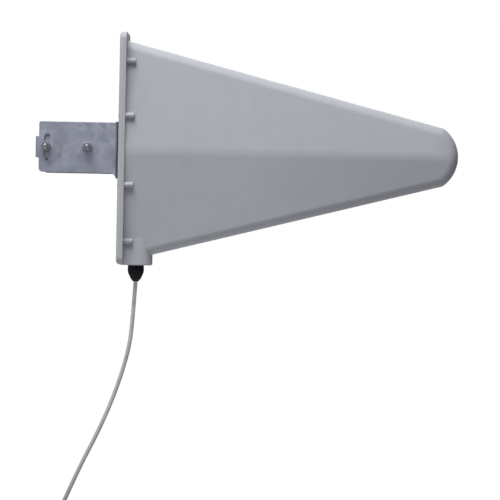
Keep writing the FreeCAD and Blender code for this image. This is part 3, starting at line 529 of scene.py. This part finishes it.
# A pair is where a pattern starts to come in or fade, and where it is all there or gone.
GLAND_LIGHT_REACH = 0.090                            # length of lead below the gland that is painted lighter, against the radome's shadow
LEAD_SHADE = (0.14, 0.27)                    # painted shade on the lead, this far below the gland
CREASE_Z = -0.003                            # height of the crease along each side of the radome
CREASE_BLUR = 0.007
NOSE_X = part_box("radome_shell")[1].x
NOSE_SHADE = 0.034                           # reach of the nose's painted shade, from the tip back
LOWER_FACET_SHADE = (0.20, 0.42)                   # reach of the painted shade on the lower facets, from the mast
BOLTS = ("lock_bolt", "pivot_bolt")
WASHER_RADIUS = 0.006
SCUFF_START = (WASHER_RADIUS - 0.0002, WASHER_RADIUS + 0.0002)
SCUFF_END = (WASHER_RADIUS + 0.0007, WASHER_RADIUS + 0.0019)
FOLD_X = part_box("tilt_bracket")[1].x         # the bracket's web lies against the rear cover here
# how far the fold's painted shade reaches from the web
FOLD_SHADE_REACH = 0.0040
STRAP_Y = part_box("mast_strap")[1].y          # the bracket's inner faces, where the mast's shadow is painted, start here
MAST_SHADOW_START = (STRAP_Y + 0.0001, STRAP_Y + 0.0002)
MAST_SHADOW_END = (STRAP_Y + 0.0009, STRAP_Y + 0.0017)


def middle_of(node):
    low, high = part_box(node)
    return tuple((a + b) / 2 for a, b in zip(low, high))


MAKERS = (radome_plastic, galvanised_sheet, plated_steel, black_rubber, aluminium, white_nylon, dark_foam,
          brass, copper_wire, cable_jacket, black_nylon, black_sleeve, nickel_plate)
MATERIALS = {maker.__name__: maker() for maker in MAKERS}


def dress_cad_nodes():
    """Gives every node that came from CAD the finish of its material slot."""
    for part in nodes.values():
        for place in part.material_slots:
            name = place.material.name.split(".")[0]
            place.material = MATERIALS[name]


dress_cad_nodes()
cable.data.materials.append(MATERIALS["cable_jacket"])


# ----------------------------------------------------------------- turned pieces
SHARP_ABOVE = math.radians(32.0)


def arc_through(start, middle, end, steps):
    """Points along the circle through three points of a profile, from the first to the last."""
    (ax, ay), (bx, by), (cx, cy) = start, middle, end
    scale = 2 * (ax * (by - cy) + bx * (cy - ay) + cx * (ay - by))
    a2, b2, c2 = ax * ax + ay * ay, bx * bx + by * by, cx * cx + cy * cy
    ux = (a2 * (by - cy) + b2 * (cy - ay) + c2 * (ay - by)) / scale
    uy = (a2 * (cx - bx) + b2 * (ax - cx) + c2 * (bx - ax)) / scale
    radius = math.hypot(ax - ux, ay - uy)
    first = math.atan2(ay - uy, ax - ux)
    turn = (math.atan2(cy - uy, cx - ux) - first + math.pi) % TAU - math.pi
    angles = [first + turn * i / steps for i in range(steps + 1)]
    return [(ux + radius * math.cos(angle), uy + radius * math.sin(angle)) for angle in angles]


def hex_radius(flats, angle):
    """Radius of a hexagon across its flats, at an angle round it."""
    return flats / 2 / math.cos((angle % (TAU / 6)) - TAU / 12)


def thread_depth(along, angle, pitch, depth):
    """How far a thread's surface lies below its crest: a flat crest, straight flanks and a flat root."""
    phase = (along / pitch - angle / TAU) % 1.0
    return depth * max(0.0, min(1.0, 1.2 - abs(4.0 * phase - 2.0) * 0.8))


def lathe(name, rows, origin, axis, body, slot, stands_for, columns, closed=False):
    """A piece turned about an axis that is square to X, in a number of columns round it.

    A row is a distance along the axis and a radius, which may be a function of the angle from X. The rows
    are capped at both ends, or, where they are closed, the last one joins the first.
    """
    along_axis = Vector(axis)
    across = Vector((1.0, 0.0, 0.0))
    third = along_axis.cross(across)
    mesh = bpy.data.meshes.new(name)
    points = []
    for along, radius in rows:
        for column in range(columns):
            angle = TAU * column / columns
            reach = radius(angle) if callable(radius) else radius
            points.append(Vector(origin) + along_axis * along
                          + (across * math.cos(angle) + third * math.sin(angle)) * reach)
    faces = []
    count = len(rows)
    for row in range(count if closed else count - 1):
        here, ahead = row * columns, (row + 1) % count * columns
        for column in range(columns):
            beside = (column + 1) % columns
            faces.append((here + column, here + beside, ahead + beside, ahead + column))
    if not closed:
        faces.append(tuple(reversed(range(columns))))
        faces.append(tuple(range((count - 1) * columns, count * columns)))
    mesh.from_pydata(points, [], faces)
    tidied = bmesh.new()
    tidied.from_mesh(mesh)
    bmesh.ops.recalc_face_normals(tidied, faces=tidied.faces)
    tidied.to_mesh(mesh)
    tidied.free()
    return piece(name, mesh, body, slot, stands_for)


def piece(name, mesh, body, slot, stands_for):
    """Puts a mesh in the scene as a piece that rides on a body and stands for a CAD node."""
    mesh.shade_smooth()
    mesh.set_sharp_from_angle(angle=SHARP_ABOVE)
    made = bpy.data.objects.new(name, mesh)
    bpy.context.scene.collection.objects.link(made)
    mesh.materials.append(MATERIALS[slot])
    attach(made, body)
    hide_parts(stands_for)
    return made


# ------------------------------------------------------------------ clamp bolts
STEPS_PER_PITCH = 8
BOLT_CREST = 0.00297
BOLT_PITCH = 0.001
BOLT_THREAD_DEPTH = 0.00052
BOLT_THREADED = 0.026
BOLT_CHAMFER = 0.0006
HEAD_FLATS = 0.010
HEAD_HEIGHT = 0.004
TURNED_OFF = 0.6                     # share of a hexagon's corner, past its flats, that is turned off
TURNED_STEPS = 4


def thread_rows(end, crest, pitch, depth, chamfer):
    """Rows of a screw thread: it starts at 0 with a chamfer, and runs out at its end."""
    def radius_at(along):
        fade = min(1.0, (end - along) / pitch)
        cone = crest - chamfer + along
        return lambda angle: min(cone, crest - fade * thread_depth(along, angle, pitch, depth))

    steps = round(end / pitch * STEPS_PER_PITCH)
    return [(end * i / steps, radius_at(end * i / steps)) for i in range(steps + 1)]


def hexagon_rows(start, end, flats):
    """Rows of a hexagon whose corners are turned off at both ends."""
    corner = flats / math.sqrt(3)
    relief = (corner - flats / 2) * TURNED_OFF

    def radius_at(along):
        cone = corner - relief + min(along - start, end - along)
        return lambda angle: min(cone, hex_radius(flats, angle))

    into = [relief * i / TURNED_STEPS for i in range(TURNED_STEPS + 1)]
    places = [start + step for step in into] + [end - step for step in reversed(into)]
    return [(along, radius_at(along)) for along in places]


def clamp_bolt(node):
    """A bolt with a rolled thread at its tip, a plain shank and a hexagon head."""
    low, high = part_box(node)
    seat = high.y - low.y - HEAD_HEIGHT
    rows = thread_rows(BOLT_THREADED, BOLT_CREST, BOLT_PITCH, BOLT_THREAD_DEPTH, BOLT_CHAMFER)
    rows += [(seat, BOLT_CREST)] + hexagon_rows(seat, seat + HEAD_HEIGHT, HEAD_FLATS)
    lathe(node + "_threaded", rows, ((low.x + high.x) / 2, low.y, (low.z + high.z) / 2), (0, 1, 0),
          "mast_clamp", "plated_steel", node, columns=48)


for bolt in BOLTS:
    clamp_bolt(bolt)

# ------------------------------------------------------- gland nut and connector
# Lengths are in millimetres, and places are measured from the piece's own end. A row is a place and a radius.
FLUTES = 20
FLUTE_DEPTH = 0.35
FLUTE_MIDDLE = 6.3
FLUTE_REACH = 4.2
RIM_GAP = 0.13                       # the nut's rim reaches this far up, almost to the gland's flange
NUT_LIP = 8.0                        # thickness of the nut's tip, which the lead passes through
NUT_STEP = 0.35
NUT_RADII = (2.6, 5.2, 7.1)          # inside the tip, at the step and in the bore
CONNECTOR_MOUTH = 6.3
CONNECTOR_PITCH = 1.058
CONNECTOR_CREST = 7.9
CONNECTOR_THREAD = 11.0
CONNECTOR_THREAD_DEPTH = 0.6
CONNECTOR_CHAMFER = 0.8
CONNECTOR_NECK = 7.3
CONNECTOR_HEX = (12.0, 19.0)
CONNECTOR_FLATS = 17.5
CONNECTOR_INSIDE = ((19.0, 2.0), (14.0, 2.0), (14.0, 4.3), (4.5, 4.3), (2.5, 6.1), (0.4, 6.1))
SLEEVE_LENGTH = 27.0
SLEEVE_STEP_AT = (9.5, 12.5)
SLEEVE_RADII = (3.35, 4.3)
SLEEVE_STEPS = 45
SLEEVE_END = 0.25                    # length of the bevel at each end
SLEEVE_END_RADII = (3.0, 3.95)
SLEEVE_INSIDE = ((27.0, 3.66), (12.05, 3.66), (12.05, 2.56), (0.0, 2.56))


def in_metres(rows):
    """Rows given in millimetres, in metres."""
    def scaled(radius):
        return (lambda angle: radius(angle) * MM) if callable(radius) else radius * MM

    return [(along * MM, scaled(radius)) for along, radius in rows]


def gland_nut():
    """The dome nut, with a small bevel at its rim and finger flutes round its widest part."""
    low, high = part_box("gland_nut")
    length = (high.z - low.z) / MM
    shoulder = (length - 6.6, 7.7)
    outline = [(-RIM_GAP, 9.5), (0.25, 9.8)]
    outline += arc_through((0.8, 9.84), (6.5, 9.35), shoulder, 12)
    outline += arc_through(shoulder, (length - 2.9, 5.9), (length - 0.3, 3.7), 7)[1:]
    outline += [(length, 3.4)]

    def fluted(along, radius):
        fade = max(0.0, 1.0 - abs(along - FLUTE_MIDDLE) / FLUTE_REACH)
        depth = FLUTE_DEPTH * min(1.0, 2 * fade)
        return lambda angle: radius - depth * max(0.0, math.cos(FLUTES * angle)) ** 2

    rows = [(along, fluted(along, radius)) for along, radius in outline]
    hole, step, bore = NUT_RADII
    seat = length - NUT_LIP
    rows += [(length, hole), (seat, hole), (seat, step), (seat - NUT_STEP, step),
             (seat - NUT_STEP, bore), (-RIM_GAP, bore)]
    return lathe("gland_nut_fluted", in_metres(rows), ((low.x + high.x) / 2, (low.y + high.y) / 2, high.z),
                 (0, 0, -1), "antenna", "black_nylon", "gland_nut", columns=FLUTES * 6, closed=True)


def connector_sleeve():
    """Heat-shrunk sleeve: it steps over the ferrule's end and is slightly uneven."""
    low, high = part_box("connector_sleeve")

    def shrunk(along):
        step = (along - SLEEVE_STEP_AT[0]) / (SLEEVE_STEP_AT[1] - SLEEVE_STEP_AT[0])
        step = max(0.0, min(1.0, step))
        radius = SLEEVE_RADII[0] + (SLEEVE_RADII[1] - SLEEVE_RADII[0]) * step * step * (3 - 2 * step)
        return lambda angle: (radius - 0.05 * (1 + math.sin(3 * angle + 0.7 * along))
                              - 0.03 * (1 + math.sin(7 * angle - 1.9 * along)))

    run = SLEEVE_LENGTH - 2 * SLEEVE_END
    places = [SLEEVE_END + run * i / SLEEVE_STEPS for i in range(SLEEVE_STEPS + 1)]
    rows = [(0.0, SLEEVE_END_RADII[0])] + [(along, shrunk(along)) for along in places]
    rows += [(SLEEVE_LENGTH, SLEEVE_END_RADII[1]), *SLEEVE_INSIDE]
    return lathe("connector_sleeve_shrunk", in_metres(rows),
                 ((low.x + high.x) / 2, (low.y + high.y) / 2, high.z), (0, 0, -1),
                 "antenna", "black_sleeve", "connector_sleeve", columns=48, closed=True)


def connector_body():
    """The threaded jack: coupling thread, neck, spanner hexagon, and the socket inside."""
    low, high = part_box("connector_body")
    rows = [(0.0, CONNECTOR_MOUTH)]
    rows += thread_rows(CONNECTOR_THREAD, CONNECTOR_CREST, CONNECTOR_PITCH, CONNECTOR_THREAD_DEPTH,
                        CONNECTOR_CHAMFER)
    rows += [(CONNECTOR_THREAD, CONNECTOR_NECK), (CONNECTOR_HEX[0], CONNECTOR_NECK)]
    rows += hexagon_rows(*CONNECTOR_HEX, CONNECTOR_FLATS)
    rows += CONNECTOR_INSIDE
    return lathe("connector_body_threaded", in_metres(rows),
                 ((low.x + high.x) / 2, (low.y + high.y) / 2, low.z), (0, 0, 1),
                 "antenna", "nickel_plate", "connector_body", columns=96, closed=True)


# -------------------------------------------------------------------- cable tie
TIE_REACH = 0.00275                  # inside of the band from the middle of the cable
TIE_THICKNESS = 0.0011
TIE_TOOTH = 0.00025
TIE_HALF_WIDTH = 0.0023
TIE_HEAD_GAP = 0.0006                # from the inside of the band, so that the two join
TIE_HEAD_Y = (-0.0408, -0.0332)
TIE_HEAD_HALF_HEIGHT = 0.0032
TIE_HEAD_ROUND = 0.0006
TIE_STUB = 0.0026                    # length of the cut end past the head
TIE_STUB_SUNK = 0.0004
TIE_STUB_ROUND = 0.0002
TIE_END_STEPS = 20
TIE_SIDE_STEPS = 26


def tie_band(mesh):
    """A toothed band round all the coil's turns, which lie side by side along Y."""
    x, first_y, z = ROUTE[-1]
    ends = ((x, first_y, 0.0), (x, TAIL_Y, math.pi))
    stations = []
    for (cx, cy, start), (_, next_y, _) in (ends, ends[::-1]):
        stations += [(cx, cy, start + math.pi * i / TIE_END_STEPS) for i in range(TIE_END_STEPS)]
        stations += [(cx, cy + (next_y - cy) * i / TIE_SIDE_STEPS, start + math.pi)
                     for i in range(TIE_SIDE_STEPS)]
    rings = []
    for number, (cx, cy, angle) in enumerate(stations):
        outer = TIE_REACH + TIE_THICKNESS - TIE_TOOTH * (number % 2)
        rings.append([mesh.verts.new((cx + reach * math.cos(angle), cy + reach * math.sin(angle), z + up))
                      for reach, up in ((TIE_REACH, -TIE_HALF_WIDTH), (TIE_REACH, TIE_HALF_WIDTH),
                                        (outer, TIE_HALF_WIDTH), (outer, -TIE_HALF_WIDTH))])
    for here, ahead in zip(rings, rings[1:] + rings[:1]):
        for corner in range(4):
            beside = (corner + 1) % 4
            mesh.faces.new((here[corner], here[beside], ahead[beside], ahead[corner]))


def rounded_block(mesh, low, high, radius):
    """A block between two corners, with rounded edges."""
    made = bmesh.ops.create_cube(mesh, size=1.0)["verts"]
    for vertex in made:
        vertex.co = Vector((a + (b - a) * (c + 0.5) for a, b, c in zip(low, high, vertex.co)))
    edges = list({edge for vertex in made for edge in vertex.link_edges})
    bmesh.ops.bevel(mesh, geom=edges, offset=radius, segments=3, profile=0.5, affect="EDGES")


def cable_tie():
    """The band, its locking head and the stub of its cut end."""
    mesh = bmesh.new()
    tie_band(mesh)
    low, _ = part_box("cable_tie")
    x, _, z = ROUTE[-1]
    head_x = (low.x, x - TIE_REACH - TIE_HEAD_GAP)
    low_y, high_y = TIE_HEAD_Y
    rounded_block(mesh, (head_x[0], low_y, z - TIE_HEAD_HALF_HEIGHT),
                  (head_x[1], high_y, z + TIE_HEAD_HALF_HEIGHT), TIE_HEAD_ROUND)
    middle_x = (head_x[0] + head_x[1]) / 2
    stub_z = TIE_HALF_WIDTH - TIE_STUB_ROUND / 2
    rounded_block(mesh, (middle_x - TIE_THICKNESS / 2, high_y - TIE_STUB_SUNK, z - stub_z),
                  (middle_x + TIE_THICKNESS / 2, high_y + TIE_STUB, z + stub_z), TIE_STUB_ROUND)
    bmesh.ops.recalc_face_normals(mesh, faces=mesh.faces)
    data = bpy.data.meshes.new("cable_tie_toothed")
    mesh.to_mesh(data)
    mesh.free()
    return piece("cable_tie_toothed", data, "antenna", "black_nylon", "cable_tie")


gland_nut()
cable_tie()
connector_sleeve()
connector_body()


# -------------------------------------------------------------------------- stage
FLOOR_CENTRE_X = 0.2
FLOOR_Z = -0.8
FLOOR_RADIUS = 1.1
FLOOR_SIDES = 96


def make_floor():
    mesh = bpy.data.meshes.new("floor")
    turns = [TAU * i / FLOOR_SIDES for i in range(FLOOR_SIDES)]
    rim = [(FLOOR_CENTRE_X + FLOOR_RADIUS * math.cos(turn), FLOOR_RADIUS * math.sin(turn), FLOOR_Z)
           for turn in turns]
    mesh.from_pydata(rim, [], [tuple(range(FLOOR_SIDES))])
    floor = bpy.data.objects.new("floor", mesh)
    bpy.context.scene.collection.objects.link(floor)
    pale = Surface("floor_paint")
    pale.coloured(pale.blend(pale.noise(6.0), (0.58, 0.58, 0.59), (0.62, 0.62, 0.63)))
    pale.roughened(0.8)
    mesh.materials.append(pale.material)


make_floor()
